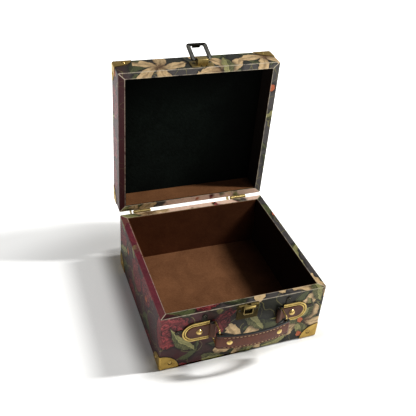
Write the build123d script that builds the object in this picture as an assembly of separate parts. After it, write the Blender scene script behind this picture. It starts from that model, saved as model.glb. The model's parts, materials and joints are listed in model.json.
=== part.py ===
from build123d import *
import math
import os

os.makedirs("parts", exist_ok=True)

# The box stands on z = 0 with its front towards -Y. The origin is the middle of its underside.
# All sizes are in millimetres and degrees.

# Case
box_width = 200.0
box_depth = 195.0
base_height = 81.0
lid_height = 32.8
rim_gap = 0.4
board = 7.5
bottom_board = 9.0
top_board = 5.6
cover = 0.4
lining = 0.8
lining_drop = 0.6
edge_round = 2.0
turn_in = 14.0
bottom_pad_inset = 17.0
top_sheet_inset = 3.0

# Hinges at the back
lid_open_angle = 88.0
hinge_offset = 2.8
hinge_left_inset = 30.4
hinge_right_inset = 33.2
hinge_length = 22.0
knuckle_radius = 2.4
knuckle_count = 5
knuckle_gap = 0.2
hinge_pin_radius = 1.1
pin_fit = 0.05
leaf = 0.9
leaf_height = 13.0
leaf_screw_spacing = 14.0
leaf_screw_drop = 8.5
ear_gap = 0.1
ear_thickness = 1.8
ear_distance = 3.3
ear_reach = 3.6
ear_arm_height = 6.5

# Brass corners
corner_metal = 0.6
corner_reach = 22.6
base_corner_rise = 21.5
lid_corner_rise = 15.0
nail_inset = 12.4
base_nail_rise = 10.0
lid_nail_rise = 6.4
nail_head_radius = 1.9
nail_head_height = 0.9
nail_shank_radius = 0.6
nail_length = 6.0

# Screws
screw_head_radius = 1.7
screw_head_height = 0.9
screw_shank_radius = 0.9
screw_length = 6.0
fastener_fit = 0.05

# The handle and the latch stand a little to the right of the middle.
fitting_x = 1.4

# Handle mounts on the front
handle_z = 53.0
mount_inner_x = 45.2
mount_length = 31.7
mount_height = 28.0
mount_plate = 0.8
bead_radius = 1.3
inner_bead_radius = 1.2
inner_bead_step = 2.7
bead_web = 0.5
inlay_gap = 0.15
inlay_leather = 1.6
lug_radius = 3.0
end_lug_reach = 4.9
end_lug_rise = 3.5
top_lug_x = 51.0
top_lug_rise = 21.3
mount_rivet_x = 57.0
rivet_head_radius = 3.9
rivet_head_height = 2.7
rivet_shank_radius = 1.5
rivet_length = 5.0

# Rings and strap
ring_x = 40.0
ring_wire_radius = 0.9
ring_reach = 16.8
ring_half_height = 14.0
ring_bend = 2.6
ring_fit = 0.1
ring_stand_off = 2.9
tab_width = 22.0
strap_width = 19.0
strap_thickness = 3.3
strap_loop_leather = 3.2
strap_bow = 5.0
strap_fold_x = 26.0
strap_fold_edge = 2.6
strap_rivet_x = 30.0
strap_rivet_head_radius = 3.4
strap_rivet_head_height = 1.6
strap_rivet_tail_radius = 1.9
strap_rivet_tail_height = 0.6
strap_rivet_shank_radius = 1.1
strap_rivet_length = 4.0

# Latch plate and link on the lid
latch_plate = 1.0
latch_plate_width = 27.4
latch_plate_height = 15.5
latch_plate_drop = 0.9
latch_corner_round = 1.0
latch_far_round = 4.0
latch_notch_width = 1.3
latch_notch_depth = 3.0
latch_notch_x = 3.1
latch_screw_x = 10.2
latch_screw_rise = 10.6
block_x = 1.0
pivot_rise = 11.6
pivot_stand_off = 5.3
pivot_radius = 1.0
block_width = 12.8
block_below = 5.6
block_above = 3.6
block_wall = 1.6
block_round = 1.3
link_width = 25.7
link_length = 26.2
link_bar = 4.7
link_end_bar = 3.2
link_thickness = 1.8
link_heel = 1.8
link_corner_round = 3.8
link_inner_round = 1.0
link_rest_angle = 161.0
link_lip_width = 10.0
link_lip_reach = 3.0
link_lip_thickness = 1.2
link_lip_round = 0.4

# Catch plate and hook on the base
catch_plate = 0.8
catch_width = 26.0
catch_height = 22.8
catch_drop = 0.6
catch_corner_round = 1.2
catch_flange_width = 6.4
catch_flange_reach = 2.4
hook_width = 12.6
hook_reach = 6.8
hook_lip = 2.6
hook_metal = 0.8
hook_round = 1.1
hook_slot_width = 4.9
hook_slot_length = 2.6
window_width = 9.8
window_low = 13.4
window_top = 3.2
window_frame = 1.1
window_frame_height = 2.4
catch_screw_x = 10.0
catch_screw_drop = 9.6

# Values that follow from the sizes above
half_width = box_width / 2
half_depth = box_depth / 2
board_inner = cover + board
wall = board_inner + cover
cavity_inset = wall + lining
lid_rim = base_height + rim_gap
lid_top = lid_rim + lid_height
hinge_y = half_depth + hinge_offset
hinge_z = base_height + rim_gap / 2
hinge_axis = Axis((0, hinge_y, hinge_z), (1, 0, 0))
front_y = -half_depth
pivot_y = front_y - pivot_stand_off
pivot_z = lid_rim + pivot_rise
ring_inner_y = front_y - ring_stand_off
ring_outer_y = ring_inner_y - ring_reach
everywhere = 4 * (box_width + box_depth + base_height + lid_height)

LOW = (Align.CENTER, Align.CENTER, Align.MIN)
TURNS = {
    "front": (90, 0, 0),
    "back": (-90, 0, 0),
    "left": (0, -90, 0),
    "right": (0, 90, 0),
    "down": (180, 0, 0),
    "up": (0, 0, 0),
}


def save(node, shape):
    """Write one named piece."""
    export_step(shape, f"parts/{node}.step")


def opened(shape):
    """Swing a piece of the closed lid back to the open rest position."""
    return shape.rotate(hinge_axis, -lid_open_angle)


def fitted(shape):
    """Move a piece drawn about the middle to where the front's fittings stand."""
    return Pos(fitting_x, 0, 0) * shape


def facing(x, y, z, side):
    """A place on the case whose local +Z points out of the named side."""
    return Location((x, y, z), TURNS[side])


def block(x_range, y_range, z_range):
    """A box between two values along each axis."""
    sizes = [high - low for low, high in (x_range, y_range, z_range)]
    middle = [(low + high) / 2 for low, high in (x_range, y_range, z_range)]
    return Pos(*middle) * Box(*sizes)


def inset_block(inset, low, high):
    """A box on the case's footprint, pulled in by inset."""
    return block(
        (inset - half_width, half_width - inset),
        (inset - half_depth, half_depth - inset),
        (low, high),
    )


def rounded_block(inset, low, high):
    """As inset_block, with the corner posts and the closed lower end rounded."""
    form = inset_block(inset, low, high)
    edges = form.edges().filter_by(Axis.Z) + form.faces().sort_by(Axis.Z)[0].edges()
    return fillet(edges, edge_round - inset)


def dome(radius, height):
    """A cap of a sphere standing on z = 0."""
    ball = (radius**2 + height**2) / (2 * height)
    return Pos(0, 0, height - ball) * Sphere(ball) & Cylinder(radius + height, height, align=LOW)


def fastener(head_radius, head_height, shank_radius, length):
    """A domed head on z = 0 with its shank below."""
    return dome(head_radius, head_height) + Pos(0, 0, -length) * Cylinder(shank_radius, length, align=LOW)


def fastener_hole(shank_radius, length, above=0.0):
    """The clearance hole for a shank, which also cuts what lies up to above over z = 0."""
    return Pos(0, 0, -length) * Cylinder(shank_radius + fastener_fit, length + above, align=LOW)


# A tray: four boards round an end board, with covering and lining. Its closed end is at z = 0.
def tray(height, end_board, sheet_inset, sheet_thickness):
    rim = height - cover
    floor = cover + end_board
    core = rounded_block(cover, cover, rim)
    front = (front_y + cover, front_y + board_inner)
    back = (-front[1], -front[0])
    left = (cover - half_width, board_inner - half_width)
    right = (-left[1], -left[0])
    full = (-half_width, half_width)
    between = (front[1], back[0])
    levels = (0, height)
    pieces = {
        "front_board": core & block(full, front, levels),
        "back_board": core & block(full, back, levels),
        "left_board": core & block(left, between, levels),
        "right_board": core & block(right, between, levels),
        "end_board": inset_block(board_inner, cover, floor),
    }
    # The covering goes round the outside, over the rim and a little way down inside.
    walls = core - inset_block(board_inner, 0, height)
    skin = rounded_block(0, 0, height) - walls
    skin -= inset_block(wall, cover, height + cover)
    skin -= inset_block(board_inner, cover, height - turn_in)
    skin -= inset_block(sheet_inset, -cover, cover)
    pieces["side_wrap"] = skin
    pieces["end_sheet"] = inset_block(sheet_inset, cover - sheet_thickness, cover)
    pieces["end_lining"] = inset_block(board_inner, floor, floor + lining)
    lining_top = height - lining_drop
    wall_lining = inset_block(board_inner, floor + lining, height - turn_in)
    wall_lining += inset_block(wall, height - turn_in, lining_top)
    pieces["wall_lining"] = wall_lining - inset_block(cavity_inset, 0, height)
    return pieces


# A brass corner for the tray's front left corner: a quarter oval on each side and a quarter disc on the end.
def corner_shell(rise):
    size = 2 * corner_reach
    x0, y0 = -half_width, -half_depth

    def corner_block(grow):
        form = block((x0 - grow, x0 + size), (y0 - grow, y0 + size), (-grow, size))
        upright = form.edges().filter_by(Axis.Z).sort_by(Axis.X)[:2].sort_by(Axis.Y)[0]
        bottom = form.faces().sort_by(Axis.Z)[0]
        front_low = bottom.edges().filter_by(Axis.X).sort_by(Axis.Y)[0]
        left_low = bottom.edges().filter_by(Axis.Y).sort_by(Axis.X)[0]
        return fillet([upright, front_low, left_low], edge_round + grow)

    depth = corner_metal + edge_round
    shell = corner_block(corner_metal) - corner_block(0)
    front_lobe = facing(x0, y0 + edge_round, 0, "front") * extrude(Ellipse(corner_reach, rise), depth)
    left_lobe = facing(x0 + edge_round, y0, 0, "left") * extrude(Ellipse(rise, corner_reach), depth)
    end_lobe = facing(x0, y0, edge_round, "down") * Cylinder(corner_reach, depth, align=LOW)
    return (shell & front_lobe) + (shell & left_lobe) + (shell & end_lobe)


# Where the three nails of a front left corner go, in the tray's own frame.
def corner_nail_places(rise):
    x_near = nail_inset - half_width
    y_near = nail_inset - half_depth
    return [
        facing(x_near, -half_depth - corner_metal, rise, "front"),
        facing(-half_width - corner_metal, y_near, rise, "left"),
        facing(x_near, y_near, -corner_metal, "down"),
    ]


# The lower nails are flush, because the box stands on these plates.
def flush_nail():
    head = Pos(0, 0, -corner_metal) * Cylinder(nail_head_radius, corner_metal, align=LOW)
    return head + Pos(0, 0, -nail_length) * Cylinder(nail_shank_radius, nail_length, align=LOW)


def flush_nail_hole():
    head = Pos(0, 0, -corner_metal) * Cylinder(nail_head_radius + fastener_fit, 2 * corner_metal, align=LOW)
    return head + fastener_hole(nail_shank_radius, nail_length)


domed_nail = fastener(nail_head_radius, nail_head_height, nail_shank_radius, nail_length)
domed_nail_hole = fastener_hole(nail_shank_radius, nail_length, corner_metal)


def four_corners(shape):
    """The front left shape and its mirror images, named by corner."""
    right = mirror(shape, about=Plane.YZ)
    return {
        "front_left": shape,
        "front_right": right,
        "back_left": mirror(shape, about=Plane.XZ),
        "back_right": mirror(right, about=Plane.XZ),
    }


# The three nails of a front left corner and their holes.
def corner_nails(rise, end_nail, end_hole):
    *side_places, end_place = corner_nail_places(rise)
    nails = [place * domed_nail for place in side_places] + [end_place * end_nail]
    holes = [place * domed_nail_hole for place in side_places] + [end_place * end_hole]
    return nails, holes


def mirrored_four(shapes):
    """Every shape of a front left corner at all four corners."""
    return [copy for shape in shapes for copy in four_corners(shape).values()]


screw = fastener(screw_head_radius, screw_head_height, screw_shank_radius, screw_length)
screw_hole = fastener_hole(screw_shank_radius, screw_length, screw_head_height)


# Hinges
knuckle_pitch = hinge_length / knuckle_count
hinge_places = {
    "left": hinge_left_inset - half_width,
    "right": half_width - hinge_right_inset,
}
leaf_face_y = half_depth + leaf


def along_x(radius, x_range):
    """A cylinder round the hinge axis between two x values."""
    low, high = x_range
    return Pos(low, hinge_y, hinge_z) * Rot(0, 90, 0) * Cylinder(radius, high - low, align=LOW)


def knuckle_ranges(x, first):
    """The x ranges of every second knuckle."""
    start = x - hinge_length / 2
    return [
        (start + i * knuckle_pitch + knuckle_gap / 2, start + (i + 1) * knuckle_pitch - knuckle_gap / 2)
        for i in range(first, knuckle_count, 2)
    ]


def hinge_leaf(x, first, sign):
    """A leaf on the back face. Sign is -1 for the base's leaf and +1 for the lid's."""

    def levels(near, far):
        return sorted((hinge_z + sign * near, hinge_z + sign * far))

    ends = (x - hinge_length / 2, x + hinge_length / 2)
    shape = block(ends, (half_depth, leaf_face_y), levels(rim_gap, leaf_height))
    for low, high in knuckle_ranges(x, 1 - first):
        shape -= along_x(knuckle_radius + knuckle_gap, (low - knuckle_gap, high + knuckle_gap))
    for span in knuckle_ranges(x, first):
        web = (half_depth, hinge_y - hinge_pin_radius)
        shape += block(span, web, levels(rim_gap, knuckle_radius))
        shape += along_x(knuckle_radius, span)
    return shape - along_x(hinge_pin_radius + pin_fit, ends)


# The stop ear of a base leaf: an arm beside the knuckles that the open lid's back rests on.
def stop_ear(x):
    inner = x - hinge_length / 2
    outer = inner - ear_distance - ear_thickness
    top = hinge_offset - ear_gap
    low = hinge_z - leaf_height
    arm = block((outer, inner), (half_depth, leaf_face_y), (low, low + ear_arm_height))
    span = (outer, outer + ear_thickness)
    arm += along_x(top, span)
    arm += block(span, (half_depth, hinge_y), (low, hinge_z))
    arm += block(span, (hinge_y, hinge_y + ear_reach), (hinge_z - top, hinge_z + top))
    return arm


def hinge_pin(x):
    ends = (x - hinge_length / 2, x + hinge_length / 2)
    pin = along_x(hinge_pin_radius, ends)
    tip = dome(knuckle_radius - rim_gap, hinge_pin_radius)
    pin += Pos(ends[0], hinge_y, hinge_z) * Rot(0, -90, 0) * tip
    pin += Pos(ends[1], hinge_y, hinge_z) * Rot(0, 90, 0) * tip
    return pin


def leaf_screw_places(x, sign):
    level = hinge_z + sign * leaf_screw_drop
    step = leaf_screw_spacing / 2
    return [facing(x + dx, leaf_face_y, level, "back") for dx in (-step, step)]


# Handle mount, for the left side. Drawn on the front face: local x is x, local y is z.
def front_plane(stand_off=0.0):
    return Plane(origin=(0, front_y - stand_off, handle_z), x_dir=(1, 0, 0), z_dir=(0, -1, 0))


mount_end_round = mount_height / 2
mount_round_x = -mount_inner_x - mount_length + mount_end_round
end_lug_x = -mount_inner_x - mount_length - end_lug_reach


def horseshoe(margin):
    """The mount's outline, round at its outer end and straight at its inner end, pulled in by margin."""
    straight = Pos((mount_round_x - mount_inner_x) / 2, 0) * Rectangle(
        -mount_inner_x - mount_round_x, mount_height - 2 * margin
    )
    return straight + Pos(mount_round_x, 0) * Circle(mount_end_round - margin)


def mount_screw_places():
    return [
        facing(end_lug_x, front_y - mount_plate, handle_z + end_lug_rise, "front"),
        facing(-top_lug_x, front_y - mount_plate, handle_z + top_lug_rise, "front"),
    ]


def bead(radius, margin):
    """A half-sunk round bead that runs along the horseshoe, open at its straight inner end."""
    reach = mount_end_round - margin
    start = (-mount_inner_x, reach)
    bend = (mount_round_x, reach)
    tip = (mount_round_x - reach, 0)
    back = (mount_round_x, -reach)
    end = (-mount_inner_x, -reach)
    route = Line(start, bend) + ThreePointArc(bend, tip, back) + Line(back, end)
    path = front_plane(mount_plate) * route
    begin = Plane(origin=path @ 0, z_dir=path % 0)
    return sweep(begin * Circle(radius), path=path)


def mount_back():
    """The mount's back plate with its two lugs."""
    outline = horseshoe(0)
    outline += Pos(end_lug_x, end_lug_rise) * Circle(lug_radius)
    neck_x = (end_lug_x + mount_round_x) / 2
    outline += Pos(neck_x, end_lug_rise) * Rectangle(mount_round_x - end_lug_x, 2 * lug_radius)
    outline += Pos(-top_lug_x, top_lug_rise) * Circle(lug_radius)
    outline += Pos(-top_lug_x, top_lug_rise / 2) * Rectangle(2 * lug_radius, top_lug_rise)
    shape = extrude(front_plane() * outline, mount_plate)
    for place in mount_screw_places():
        shape -= place * screw_hole
    return shape - mount_rivet_place() * mount_rivet_hole


def mount_rim():
    """The mount's raised rim: two beads on a thin web, flat at the back."""
    inner_bead_margin = bead_radius + inner_bead_step
    rim = bead(bead_radius, bead_radius) + bead(inner_bead_radius, inner_bead_margin)
    rim &= block(
        (-everywhere, -mount_inner_x), (-everywhere, front_y - mount_plate), (-everywhere, everywhere)
    )
    web = horseshoe(bead_radius) - horseshoe(inner_bead_margin)
    return rim + extrude(front_plane(mount_plate) * web, bead_web)


inlay_margin = bead_radius + inner_bead_step + inner_bead_radius + inlay_gap
inlay_width = mount_height - 2 * inlay_margin
inlay_top = mount_plate + inlay_leather
tab_loop_radius = ring_wire_radius + ring_fit + inlay_leather


def mount_rivet_place():
    return facing(-mount_rivet_x, front_y - inlay_top, handle_z, "front")


mount_rivet = fastener(rivet_head_radius, rivet_head_height, rivet_shank_radius, rivet_length + inlay_top)
mount_rivet_hole = fastener_hole(rivet_shank_radius, rivet_length + inlay_top, rivet_head_height)


# The leather tab lies in the horseshoe and folds round the ring's inner bar.
def mount_tab():
    inlay = extrude(front_plane(mount_plate) * horseshoe(inlay_margin), inlay_leather)
    end = Pos(-mount_inner_x - inlay_leather / 2, mount_plate + inlay_leather / 2) * Rectangle(
        inlay_leather, inlay_leather
    )
    loop = Pos(-ring_x, ring_stand_off) * Circle(tab_loop_radius)
    fold = make_hull(end.edges() + loop.edges())
    fold -= Pos(-ring_x, ring_stand_off) * Circle(ring_wire_radius + ring_fit)

    def fold_from(low_x, width):
        """The fold beyond low_x, at one width."""
        over = Plane(origin=(0, front_y, handle_z - width / 2), x_dir=(1, 0, 0), z_dir=(0, 0, -1))
        return extrude(over * fold, -width) - block(
            (-everywhere, low_x), (-everywhere, everywhere), (-everywhere, everywhere)
        )

    folds = fold_from(-mount_inner_x, inlay_width) + fold_from(inlay_gap - mount_inner_x, tab_width)
    return inlay + folds - mount_rivet_place() * mount_rivet_hole


# A ring of round wire, upright, at right angles to the front.
def ring(x):
    inner = ring_inner_y
    outer = ring_outer_y
    low = handle_z - ring_half_height
    high = handle_z + ring_half_height
    corners = [(x, inner, low), (x, outer, low), (x, outer, high), (x, inner, high)]
    path = FilletPolyline(*corners, radius=ring_bend, close=True)
    begin = Plane(origin=path @ 0, z_dir=path % 0)
    return sweep(begin * Circle(ring_wire_radius), path=path)


# The strap, seen from above: a bowed band whose ends fold round the rings' outer bars.
strap_loop_radius = ring_wire_radius + ring_fit + strap_loop_leather
strap_end_y = ring_outer_y - strap_loop_radius
strap_front_y = strap_end_y - strap_bow
strap_radius = (ring_x**2 + strap_bow**2) / (2 * strap_bow)


def strap_front(x):
    """The y of the strap's outer face at x, on the arc through its ends and its middle."""
    return strap_front_y + strap_radius - math.sqrt(strap_radius**2 - x**2)


def strap_band():
    ends = [(-ring_x, strap_end_y), (ring_x, strap_end_y)]
    back_ends = [(x, y + strap_thickness) for x, y in ends]
    front = ThreePointArc(ends[0], (0, strap_front_y), ends[1])
    back = ThreePointArc(back_ends[1], (0, strap_front_y + strap_thickness), back_ends[0])
    sides = Line(ends[1], back_ends[1]) + Line(back_ends[0], ends[0])
    return make_face(front.edges() + back.edges() + sides.edges())


def strap_end(side):
    """One folded end, filled between its two layers up to where the fold is sewn down."""
    loop = Pos(side * ring_x, ring_outer_y) * Circle(strap_loop_radius)
    edge_y = strap_front(strap_fold_x) + strap_thickness / 2
    edge = Pos(side * strap_fold_x, edge_y) * Rectangle(strap_fold_edge, strap_fold_edge)
    return make_hull(loop.edges() + edge.edges())


def strap_rivet_places():
    """The two rivets stand square to the bowed face."""
    lean = math.degrees(math.asin(strap_rivet_x / strap_radius))
    front = strap_front(strap_rivet_x)
    return [
        Pos(side * strap_rivet_x, front, handle_z) * Rot(0, 0, side * lean) * Rot(90, 0, 0)
        for side in (-1, 1)
    ]


def handle_strap():
    profile = strap_band() + strap_end(-1) + strap_end(1)
    for side in (-1, 1):
        profile -= Pos(side * ring_x, ring_outer_y) * Circle(ring_wire_radius + ring_fit)
    strap = extrude(Pos(0, 0, handle_z - strap_width / 2) * profile, strap_width)
    for place in strap_rivet_places():
        strap -= place * strap_rivet_hole
        strap -= place * strap_rivet_seat
    return strap


# Each strap rivet has a domed head outside and a flat washer inside.
strap_rivet_seat = Pos(0, 0, -strap_rivet_length - strap_thickness) * Cylinder(
    strap_rivet_tail_radius + fastener_fit, strap_thickness + strap_rivet_tail_height, align=LOW
)
strap_rivet_hole = fastener_hole(strap_rivet_shank_radius, strap_rivet_length, strap_rivet_head_height)
strap_rivet = fastener(
    strap_rivet_head_radius, strap_rivet_head_height, strap_rivet_shank_radius, strap_rivet_length
) + Pos(0, 0, -strap_rivet_length) * Cylinder(strap_rivet_tail_radius, strap_rivet_tail_height, align=LOW)


# The latch plate on the lid's front, with the block that the link turns in. Closed position.
def latch_plane():
    return Plane(origin=(0, front_y, lid_rim + latch_plate_drop), x_dir=(1, 0, 0), z_dir=(0, -1, 0))


def latch_screw_places():
    middle = fitting_x + block_x
    return [
        facing(x, front_y - latch_plate, lid_rim + latch_screw_rise, "front")
        for x in (middle - latch_screw_x, middle + latch_screw_x)
    ]


def latch_body():
    outline = Pos(fitting_x, latch_plate_height / 2) * RectangleRounded(
        latch_plate_width, latch_plate_height, latch_far_round
    )
    outline += Pos(fitting_x, latch_plate_height / 4) * RectangleRounded(
        latch_plate_width, latch_plate_height / 2, latch_corner_round
    )
    middle = fitting_x + block_x
    for x in (middle - latch_notch_x, middle + latch_notch_x):
        outline -= Pos(x, 0) * Rectangle(latch_notch_width, 2 * latch_notch_depth)
    shape = extrude(latch_plane() * outline, latch_plate)
    knuckle = block(
        (middle - block_width / 2, middle + block_width / 2),
        (pivot_y - block_wall, front_y - latch_plate),
        (pivot_z - block_below, pivot_z + block_above),
    )
    knuckle = fillet(knuckle.edges().filter_by(Axis.X).group_by(Axis.Y)[0], block_round)
    bore = Pos(middle - block_width / 2, pivot_y, pivot_z) * Rot(0, 90, 0)
    shape += knuckle
    shape -= bore * Cylinder(pivot_radius + pin_fit, block_width, align=LOW)
    for place in latch_screw_places():
        shape -= place * screw_hole
    return shape


# The link hangs from its pivot at the local origin, in the local XZ plane.
def latch_link():
    outline = Pos(0, (link_heel - link_length) / 2) * RectangleRounded(
        link_width, link_length + link_heel, link_corner_round
    )
    gap_low = link_end_bar - link_length
    gap_height = link_heel - gap_low
    outline -= Pos(0, gap_low + gap_height) * RectangleRounded(
        link_width - 2 * link_bar, 2 * gap_height, link_inner_round
    )
    hanging = Plane(origin=(0, link_thickness / 2, 0), x_dir=(1, 0, 0), z_dir=(0, -1, 0))
    shape = extrude(hanging * outline, link_thickness)
    pin = Pos(link_bar / 2 - link_width / 2, 0, 0) * Rot(0, 90, 0)
    shape += pin * Cylinder(pivot_radius, link_width - link_bar, align=LOW)
    lip = block(
        (-link_lip_width / 2, link_lip_width / 2),
        (-link_thickness / 2 - link_lip_reach, 0),
        (gap_low - link_lip_thickness, gap_low),
    )
    return shape + fillet(lip.edges().filter_by(Axis.X).group_by(Axis.Y)[0], link_lip_round)


# The catch plate on the base's front, with a hook struck out of it.
catch_top = base_height - catch_drop


def catch_screw_places():
    return [
        facing(x, front_y - catch_plate, base_height - catch_screw_drop, "front")
        for x in (fitting_x - catch_screw_x, fitting_x + catch_screw_x)
    ]


def catch_body():
    plane = Plane(origin=(0, front_y, catch_top), x_dir=(1, 0, 0), z_dir=(0, -1, 0))
    outline = Pos(0, -catch_height / 2) * RectangleRounded(catch_width, catch_height, catch_corner_round)
    window_height = window_low - window_top
    window = Pos(0, -window_top - window_height / 2) * RectangleRounded(
        window_width, window_height, catch_corner_round
    )
    shape = extrude(plane * (outline - window), catch_plate)
    frame = Pos(0, -window_top - window_height / 2) * RectangleRounded(
        window_width + 2 * window_frame, window_height + 2 * window_frame, catch_corner_round + window_frame
    )
    shape += extrude(plane * (frame - window), catch_plate + window_frame_height)
    face = front_y - catch_plate
    hook_front = front_y - hook_reach
    hook_span = (-hook_width / 2, hook_width / 2)
    hook = block(hook_span, (hook_front, face), (catch_top - hook_lip, catch_top))
    hook = fillet(hook.edges().filter_by(Axis.X).group_by(Axis.Y)[0].sort_by(Axis.Z)[-1], hook_round)
    hook -= block(hook_span, (hook_front + hook_metal, face), (catch_top - hook_lip, catch_top - hook_metal))
    slot_span = (-hook_slot_width / 2, hook_slot_width / 2)
    hook -= block(slot_span, (face - hook_slot_length, face), (catch_top - hook_lip, catch_top))
    shape += hook
    for side in (-1, 1):
        inner = side * (catch_width / 2 - catch_flange_width)
        outer = side * (catch_width / 2 - catch_corner_round)
        flange = (face - catch_flange_reach, face)
        shape += block(sorted((inner, outer)), flange, (catch_top - catch_plate, catch_top))
    shape = fitted(shape)
    for place in catch_screw_places():
        shape -= place * screw_hole
    return shape


# Base
def build_base():
    lift = Pos(0, 0, corner_metal)
    pieces = tray(base_height - corner_metal, bottom_board, bottom_pad_inset, cover + corner_metal)
    nails, nail_holes = corner_nails(base_nail_rise, flush_nail(), flush_nail_hole())
    nail_cuts = [lift * hole for hole in mirrored_four(nail_holes)]
    leaf_screws = [place for x in hinge_places.values() for place in leaf_screw_places(x, -1)]
    mount_cuts = [place * screw_hole for place in mount_screw_places()]
    mount_cuts += [mount_rivet_place() * mount_rivet_hole]
    mount_cuts += [mirror(cut, about=Plane.YZ) for cut in mount_cuts]
    mount_cuts = [fitted(cut) for cut in mount_cuts]
    cuts = nail_cuts + mount_cuts + [place * screw_hole for place in leaf_screws + catch_screw_places()]
    names = {"end_board": "bottom_board", "end_sheet": "bottom_pad", "end_lining": "floor_lining"}
    for name, piece in pieces.items():
        piece = lift * piece
        if name.endswith("board") or name == "side_wrap":
            piece -= cuts
        save(f"base_{names.get(name, name)}", piece)
    for corner, shell in four_corners(corner_shell(base_corner_rise)).items():
        save(f"base_corner_{corner}", lift * shell - nail_cuts)
    save("base_corner_nails", Compound(children=[lift * nail for nail in mirrored_four(nails)]))
    for side, x in hinge_places.items():
        base_leaf = hinge_leaf(x, 0, -1) + stop_ear(x)
        base_leaf -= [place * screw_hole for place in leaf_screw_places(x, -1)]
        save(f"hinge_{side}_base_leaf", base_leaf)
        save(f"hinge_{side}_pin", hinge_pin(x))
    save("hinge_base_screws", Compound(children=[place * screw for place in leaf_screws]))
    save("catch_plate", catch_body())
    save("catch_screws", Compound(children=[place * screw for place in catch_screw_places()]))


def build_handle():
    for name, piece in (("back", mount_back()), ("rim", mount_rim()), ("tab", mount_tab())):
        save(f"mount_left_{name}", fitted(piece))
        save(f"mount_right_{name}", fitted(mirror(piece, about=Plane.YZ)))
    rivet = mount_rivet_place() * mount_rivet
    screws = [place * screw for place in mount_screw_places()]
    for name, items in (("rivets", [rivet]), ("screws", screws)):
        both = items + [mirror(item, about=Plane.YZ) for item in items]
        save(f"mount_{name}", Compound(children=[fitted(item) for item in both]))
    save("ring_left", fitted(ring(-ring_x)))
    save("ring_right", fitted(ring(ring_x)))
    save("handle_strap", fitted(handle_strap()))
    rivets = [fitted(place * strap_rivet) for place in strap_rivet_places()]
    save("handle_rivets", Compound(children=rivets))


# Lid, built closed and then swung open
def build_lid():
    pieces = tray(lid_height, top_board, top_sheet_inset, cover)

    def seat(shape):
        return Pos(0, 0, lid_top) * mirror(shape, about=Plane.XY)

    nails, nail_holes = corner_nails(lid_nail_rise, domed_nail, domed_nail_hole)
    nail_cuts = [seat(hole) for hole in mirrored_four(nail_holes)]
    leaf_screws = [place for x in hinge_places.values() for place in leaf_screw_places(x, 1)]
    cuts = nail_cuts + [place * screw_hole for place in leaf_screws + latch_screw_places()]
    names = {"end_board": "top_board", "end_sheet": "top_sheet", "end_lining": "top_lining"}
    for name, piece in pieces.items():
        piece = seat(piece)
        if name.endswith("board") or name in ("side_wrap", "end_sheet"):
            piece -= cuts
        save(f"lid_{names.get(name, name)}", opened(piece))
    for corner, shell in four_corners(corner_shell(lid_corner_rise)).items():
        save(f"lid_corner_{corner}", opened(seat(shell) - nail_cuts))
    save("lid_corner_nails", Compound(children=[opened(seat(nail)) for nail in mirrored_four(nails)]))
    for side, x in hinge_places.items():
        lid_leaf = hinge_leaf(x, 1, 1) - [place * screw_hole for place in leaf_screw_places(x, 1)]
        save(f"hinge_{side}_lid_leaf", opened(lid_leaf))
    save("hinge_lid_screws", Compound(children=[opened(place * screw) for place in leaf_screws]))
    save("latch_plate", opened(latch_body()))
    save("latch_screws", Compound(children=[opened(place * screw) for place in latch_screw_places()]))
    link = Pos(fitting_x + block_x, pivot_y, pivot_z) * Rot(-link_rest_angle, 0, 0) * latch_link()
    save("latch_link", opened(link))


build_base()
build_handle()
build_lid()
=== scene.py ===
import json
import math
from types import SimpleNamespace

import bmesh
import bpy
from mathutils import Matrix, Vector


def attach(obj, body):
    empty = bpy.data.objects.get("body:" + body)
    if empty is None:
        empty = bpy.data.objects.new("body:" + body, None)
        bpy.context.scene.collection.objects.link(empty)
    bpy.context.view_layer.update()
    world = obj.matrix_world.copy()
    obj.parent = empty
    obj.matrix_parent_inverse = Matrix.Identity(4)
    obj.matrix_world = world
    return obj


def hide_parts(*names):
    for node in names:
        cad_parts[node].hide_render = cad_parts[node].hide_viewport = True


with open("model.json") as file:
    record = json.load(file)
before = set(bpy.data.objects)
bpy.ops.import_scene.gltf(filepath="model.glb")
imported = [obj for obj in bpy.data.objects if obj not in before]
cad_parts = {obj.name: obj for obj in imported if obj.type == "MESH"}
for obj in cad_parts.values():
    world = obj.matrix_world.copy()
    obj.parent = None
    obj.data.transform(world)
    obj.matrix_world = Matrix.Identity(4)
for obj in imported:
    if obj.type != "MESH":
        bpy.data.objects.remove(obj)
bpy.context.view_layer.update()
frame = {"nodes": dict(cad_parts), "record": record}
nodes = frame["nodes"]

MM = 0.001

# The case's sizes, in millimetres
HALF_WIDTH = 100.0
HALF_DEPTH = 97.5
HALF_ROUND = 2 * (HALF_WIDTH + HALF_DEPTH)
BASE_TOP = 81.0
LID_RIM = 81.4
LID_TOP = 114.2
WALL = 8.3
HANDLE_Z = 53.0
FRONT_Y = -HALF_DEPTH

# The lid's hinge, and how far the lid stands open at rest
HINGE_Y = 100.3
HINGE_Z = 81.2
HINGE_XS = (-69.6, 66.8)
OPEN_COS = math.cos(math.radians(88.0))
OPEN_SIN = math.sin(math.radians(88.0))

# The fittings: how far latch and handle sit to the right, how much further the link does, and where the print and
# the brass have painted shade
FITTING_X = 1.4
LINK_SHIFT = 1.0
LINK_LEG_X = 10.5
LINK_BAR_Y = 126.0
CATCH_WINDOW_Z = 72.3
CORNER_REACH = 22.6
BASE_CORNER_RISE = 22.1
LID_CORNER_RISE = 15.0
NAIL_INSET = 12.4
BASE_NAIL_Z = 10.0
LID_NAIL_DROP = 6.4

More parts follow.
